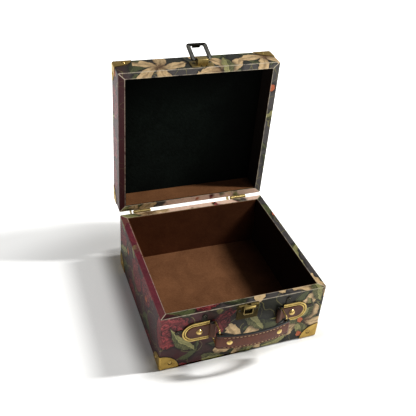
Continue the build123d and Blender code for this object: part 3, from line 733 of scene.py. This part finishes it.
def dress_screws():
    """Give each screw's head a cross recess, bumped in and painted dark as shade, where the screw is at rest."""
    lugs = [(side * x + FITTING_X, HANDLE_Z + rise) for x, rise in ((81.8, 3.5), (51.0, 21.3)) for side in (-1, 1)]
    dress(screw_material("mount screws", lugs, "xz"), "mount_screws")
    catch = [(FITTING_X + side * 10.0, BASE_TOP - 9.6) for side in (-1, 1)]
    dress(screw_material("catch screws", catch, "xz"), "catch_screws")
    latch_y = opened_y(FRONT_Y, LID_RIM + 10.6)
    latch = [(FITTING_X + LINK_SHIFT + side * 10.2, latch_y) for side in (-1, 1)]
    dress(screw_material("latch screws", latch, "xy"), "latch_screws")
    leaf_xs = [x + step for x in HINGE_XS for step in (-7.0, 7.0)]
    dress(screw_material("hinge screws", [(x, HINGE_Z - 8.5) for x in leaf_xs], "xz"), "hinge_base_screws")
    lid_leaf_y = opened_y(HALF_DEPTH, HINGE_Z + 8.5)
    dress(screw_material("hinge lid screws", [(x, lid_leaf_y) for x in leaf_xs], "xy"), "hinge_lid_screws")


def soften(width, *names):
    """Round the sharp edges of metal pieces."""
    for name in names:
        item = nodes[name]
        weld = item.modifiers.new("weld", "WELD")
        weld.merge_threshold = 1e-6
        bevel = item.modifiers.new("bevel", "BEVEL")
        bevel.width = width * MM
        bevel.segments = 2
        bevel.limit_method = "ANGLE"
        bevel.angle_limit = math.radians(40)
        bevel.use_clamp_overlap = True


# Leather pieces
def make_piece(name, mesh, body, materials, replaced=()):
    """Put a new leather piece into the scene, on its body and in its slot."""
    bmesh.ops.recalc_face_normals(mesh, faces=mesh.faces)
    data = bpy.data.meshes.new(name)
    mesh.to_mesh(data)
    mesh.free()
    piece = bpy.data.objects.new(name, data)
    bpy.context.scene.collection.objects.link(piece)
    for material in materials:
        data.materials.append(material)
    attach(piece, body)
    if replaced:
        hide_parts(*replaced)


def outline_normals(points):
    """The outward normal at each corner of a counter-clockwise outline."""
    normals = []
    count = len(points)
    for i in range(count):
        before, here, after = points[i - 1], points[i], points[(i + 1) % count]
        first = (here - before).normalized()
        second = (after - here).normalized()
        tangent = (first + second).normalized()
        normals.append(Vector((tangent.y, -tangent.x)))
    return normals


def add_slab(mesh, points, levels, turn):
    """Add a slab with this outline. Levels are pairs of height and inset, and turn maps outline and height
    to space."""
    normals = outline_normals(points)
    rings = []
    for height, inset in levels:
        ring = [turn(point - normal * inset, height) for point, normal in zip(points, normals)]
        rings.append([mesh.verts.new(place * MM) for place in ring])
    count = len(points)
    for low, high in zip(rings, rings[1:]):
        for i in range(count):
            j = (i + 1) % count
            mesh.faces.new((low[i], low[j], high[j], high[i])).smooth = True
    mesh.faces.new(list(reversed(rings[0])))
    mesh.faces.new(rings[-1])


def add_strip(mesh, stations, levels, turn, paint_from):
    """Add a strip of leather. Stations are pairs of outer and inner points along it, and levels are the height and
    how far the outer and inner faces sink there. Faces from the height paint_from on get the second material."""
    grid = []
    for height, outer_inset, inner_inset in levels:
        row = []
        for outer, inner in stations:
            across = inner - outer
            most = 0.45 * across.length
            across.normalize()
            ends = (outer + across * min(outer_inset, most), inner - across * min(inner_inset, most))
            row.append([mesh.verts.new(turn(point, height) * MM) for point in ends])
        grid.append(row)
    last = len(stations) - 1
    for low, high, level, above in zip(grid, grid[1:], levels, levels[1:]):
        painted = min(abs(level[0]), abs(above[0])) >= paint_from
        faces = [(low[i][side], low[i + 1][side], high[i + 1][side], high[i][side])
                 for i in range(last) for side in (0, 1)]
        faces += [(low[i][0], low[i][1], high[i][1], high[i][0]) for i in (0, last)]
        for corners in faces:
            face = mesh.faces.new(corners)
            face.smooth = True
            face.material_index = 1 if painted else 0
    for row in (grid[0], grid[-1]):
        for here, there in zip(row, row[1:]):
            mesh.faces.new((here[0], there[0], there[1], here[1])).material_index = 1


def edge_levels(half, rows=()):
    """Heights from -half to half, rounded at both edges and pressed in at each sewn row."""
    rise = [(half, 0.62, 0.62), (half - 0.1, 0.3, 0.3), (half - 0.35, 0.08, 0.08), (half - 0.8, 0.0, 0.0)]
    groove = ((0.9, 0.0), (0.45, 0.13), (0.0, 0.2), (-0.45, 0.13), (-0.9, 0.0))
    rise += [(row + up, deep, 0.0) for row in rows for up, deep in groove]
    rise += [(half * 0.35, -0.05, 0.0)]
    return [(-height, outer, inner) for height, outer, inner in rise] + list(reversed(rise))


def strap_front(x):
    """The y of the strap's outer face."""
    return STRAP_END_Y - STRAP_BOW + STRAP_RADIUS - math.sqrt(STRAP_RADIUS**2 - x**2)


def strap_back(x):
    return strap_front(x) + STRAP_THICKNESS


def arc(center, radius, start, end, count):
    """Points along an arc, angles in degrees."""
    angles = [math.radians(start + (end - start) * i / count) for i in range(count + 1)]
    return [Vector((center[0] + radius * math.cos(a), center[1] + radius * math.sin(a))) for a in angles]


def touch_angle(center, radius, start, side):
    """The angle on a circle, in degrees, where a line from start touches it."""
    reach = Vector(center) - start
    return math.degrees(math.atan2(reach.y, reach.x) + side * math.asin(radius / reach.length)) + side * 90


def fold_round(center, radius, start, end, count):
    """A fold of leather round a ring's bar: pairs of outer and inner points."""
    return list(zip(arc(center, radius, start, end, count), arc(center, WIRE_BORE, start, end, count)))


def strap_stations():
    """The strap's strip in plan: the left fold, the front band and the right fold."""
    center = (RING_X, RING_OUTER_Y)
    tip = Vector((STRAP_TIP_X, strap_back(STRAP_TIP_X) + 0.5))
    right = fold_round(center, STRAP_LOOP, -90, touch_angle(center, STRAP_LOOP, tip, 1), 18)
    # The folded end narrows the gap behind the bar, then lies on the band's back, down to a thin tip
    pocket = [(0.12, Vector((39.3, RING_OUTER_Y + 0.9))), (0.25, Vector((38.2, RING_OUTER_Y + 0.45)))]
    pocket += [(0.4, Vector((36.6, strap_back(36.6) + 0.55)))]
    pocket += [(k, Vector((x, strap_back(x) + 0.05))) for k, x in ((0.55, 34.4), (0.7, 31.6), (0.85, 28.6))]
    touch = right[-1][0]
    right += [(touch.lerp(tip, k), point) for k, point in pocket]
    right += [(tip, Vector((STRAP_TIP_X, strap_back(STRAP_TIP_X) + 0.05)))]
    left = [(Vector((-a.x, a.y)), Vector((-b.x, b.y))) for a, b in reversed(right)]
    xs = [-RING_X + 2.0 * i for i in range(1, 40)]
    band = [(Vector((x, strap_front(x))), Vector((x, strap_back(x)))) for x in xs]
    shift = Vector((FITTING_X, 0))
    return [(a + shift, b + shift) for a, b in left + band + right]


def make_strap(leather, paint):
    def upright(point, height):
        return Vector((point.x, point.y, HANDLE_Z + height))

    mesh = bmesh.new()
    add_strip(mesh, strap_stations(), edge_levels(STRAP_HALF, (STITCH_ROW,)), upright, STRAP_HALF - EDGE_PAINT)
    make_piece("strap", mesh, "handle", [leather, paint], ["handle_strap"])


def make_stitches(thread):
    """Two rows of stitches in the strap's grooves, every other one leaning the other way."""
    mesh = bmesh.new()
    size = Matrix.Diagonal((*(half * MM for half in STITCH_HALF), 1.0))
    for level in (-STITCH_ROW, STITCH_ROW):
        for i in range(-STITCHES_EACH_WAY, STITCHES_EACH_WAY + 1):
            x = i * STITCH_PITCH
            slope = x / math.sqrt(STRAP_RADIUS**2 - x**2)
            place = Vector((x + FITTING_X, strap_front(x) + 0.08, HANDLE_Z + level))
            turn = Matrix.Rotation(math.atan(slope), 4, "Z") @ Matrix.Rotation(STITCH_LEAN * (-1) ** i, 4, "Y")
            matrix = Matrix.Translation(place * MM) @ turn @ size
            bmesh.ops.create_uvsphere(mesh, u_segments=10, v_segments=8, radius=1.0, matrix=matrix)
    for face in mesh.faces:
        face.smooth = True
    make_piece("strap_stitches", mesh, "handle", [thread])


def tab_stations():
    """The left tab's fold round the ring, in plan: front ply, loop and back ply."""
    center = (-RING_X, RING_INNER_Y)
    front_start = Vector((-MOUNT_INNER_X, FRONT_Y - MOUNT_PLATE - TAB_LEATHER))
    back_start = Vector((-MOUNT_INNER_X, FRONT_Y - MOUNT_PLATE))
    middle = (front_start + back_start) / 2
    first = touch_angle(center, TAB_LOOP, front_start, -1)
    last = touch_angle(center, TAB_LOOP, back_start, 1)
    loop = fold_round(center, TAB_LOOP, first, last, 20)
    gap = Vector((0, 0.03))
    near = Vector((-42.6, RING_INNER_Y + 0.35))
    front = [(front_start, middle - gap), (front_start.lerp(loop[0][0], 0.5), near - 3 * gap)]
    back = [(back_start.lerp(loop[-1][0], 0.5), near + 3 * gap), (back_start, middle + gap)]
    return front + loop + back


def inlay_outline():
    """The left tab's lying part, in x and z."""
    straight = -MOUNT_INNER_X + 0.2
    ends = [Vector((straight, -INLAY_HALF)), Vector((straight, INLAY_HALF))]
    return ends + arc((-MOUNT_ROUND_X, 0.0), INLAY_HALF, 90, 270, 28)


def make_tab(name, side, leather, paint):
    def across(point, height):
        return Vector((side * -point.x + FITTING_X, point.y, HANDLE_Z + height))

    def lying(point, height):
        return Vector((side * -point.x + FITTING_X, FRONT_Y - MOUNT_PLATE - height, HANDLE_Z + point.y))

    mesh = bmesh.new()
    add_strip(mesh, tab_stations(), edge_levels(TAB_HALF), across, TAB_HALF - EDGE_PAINT)
    levels = [(0.0, 0.15), (TAB_LEATHER * 0.5, 0.0), (TAB_LEATHER - 0.35, 0.12), (TAB_LEATHER - 0.1, 0.45),
              (TAB_LEATHER, 1.0)]
    add_slab(mesh, inlay_outline(), levels, lying)
    make_piece(f"tab_{name}", mesh, "base", [leather, paint], [f"mount_{name}_tab"])


def make_leather():
    # The strap's leather is darker along its two sewn rows
    rows = (HANDLE_Z - STRAP_HALF + 2.5, HANDLE_Z + STRAP_HALF - 2.5)
    strap_leather = leather_material("strap leather", (0.045, 0.011, 0.005), (0.205, 0.058, 0.024), rows)
    tab_leather = leather_material("tab leather", (0.040, 0.013, 0.007), (0.19, 0.075, 0.040))
    edge_paint = mottled_material("edge paint", (0.5, 3.0, 0.6), (0.010, 0.011, 0.010), (0.050, 0.052, 0.048),
                                  0.34, 0.3, 0.5)
    make_strap(strap_leather, edge_paint)
    make_stitches(thread_material())
    make_tab("left", -1, tab_leather, edge_paint)
    make_tab("right", 1, tab_leather, edge_paint)


# Floor and light
FLOOR_REACH = 6


def floor_material():
    """A white sheet that glows as if lit a little from below, so that shadows on it stay pale. The glow is painted
    dimmer close to the case and under the handle, as painted shade.
    """
    graph = Graph("white floor")
    x, y, _ = graph.place()
    out_x = graph.most(abs(x) - HALF_WIDTH, 0.0)
    out_y = graph.most(abs(y - 10.0) - HALF_DEPTH - 10.0, 0.0) * 2.2
    away = graph.length(out_x, out_y)
    # Painted shade: the glow is dimmest right beside the case and grows away from it
    glow = graph.step(away, 4.0, 36.0, 0.08, 0.43) + graph.step(away, 60.0, 200.0) * 0.22
    glow = glow + graph.step(away, 200.0, 700.0) * 0.35
    # Painted shadow: the glow is dimmer under the handle
    under = graph.length((x + 36.0) / 92.0, (y + 112.0) / 32.0)
    glow = glow - graph.step(under, 1.15, 0.4) * 0.21
    return graph.finish(Base_Color=(0.88, 0.88, 0.865), Roughness=0.7, Specular_IOR_Level=0.2,
                        Emission_Color=(1.0, 1.0, 0.985), Emission_Strength=glow)


def make_floor():
    mesh = bpy.data.meshes.new("floor")
    corners = [(-1, -1), (1, -1), (1, 1), (-1, 1)]
    mesh.from_pydata([(x * FLOOR_REACH, y * FLOOR_REACH, 0) for x, y in corners], [], [(0, 1, 2, 3)])
    floor = bpy.data.objects.new("floor", mesh)
    bpy.context.scene.collection.objects.link(floor)
    mesh.materials.append(floor_material())


def make_world():
    """White where it is seen, a pale glow in reflections, and little fill light."""
    world = bpy.data.worlds.new("studio")
    bpy.context.scene.world = world
    world.use_nodes = True
    tree = world.node_tree
    background = tree.nodes["Background"]
    background.inputs["Color"].default_value = (1.0, 1.0, 1.0, 1)
    light_path = tree.nodes.new("ShaderNodeLightPath")
    reflected = tree.nodes.new("ShaderNodeMapRange")
    reflected.inputs["To Min"].default_value = 0.035
    reflected.inputs["To Max"].default_value = 0.36
    strength = tree.nodes.new("ShaderNodeMath")
    strength.operation = "MAXIMUM"
    tree.links.new(light_path.outputs["Is Glossy Ray"], reflected.inputs["Value"])
    tree.links.new(reflected.outputs["Result"], strength.inputs[0])
    tree.links.new(light_path.outputs["Is Camera Ray"], strength.inputs[1])
    tree.links.new(strength.outputs[0], background.inputs["Strength"])


def add_lamp(name, energy, size, place, target):
    """An area lamp at place, turned to target. Size is one width, or the two of an ellipse."""
    data = bpy.data.lights.new(name, "AREA")
    data.energy = energy
    data.size = size[0]
    if len(size) > 1:
        data.shape = "ELLIPSE"
        data.size_y = size[1]
    lamp = bpy.data.objects.new(name, data)
    lamp.location = place
    lamp.rotation_mode = "QUATERNION"
    lamp.rotation_quaternion = (Vector(place) - Vector(target)).to_track_quat("Z", "Y")
    bpy.context.scene.collection.objects.link(lamp)


make_camera()
dress_slots()
dress_own()
dress_screws()
make_leather()
soften(0.2, "catch_plate", "latch_plate", "mount_left_back", "mount_right_back")
soften(0.3, "latch_link")
make_floor()
make_world()
add_lamp("fill", 3.0, (0.8,), (0.6, -1.25, 1.3), (0, 0.1, 0.15))
add_lamp("key", 28.5, (0.12, 0.55), (1.19, -0.255, 1.5), (0, 0, 0.05))
bpy.context.scene.view_settings.view_transform = "Standard"
bpy.context.scene.view_settings.look = "Medium High Contrast"
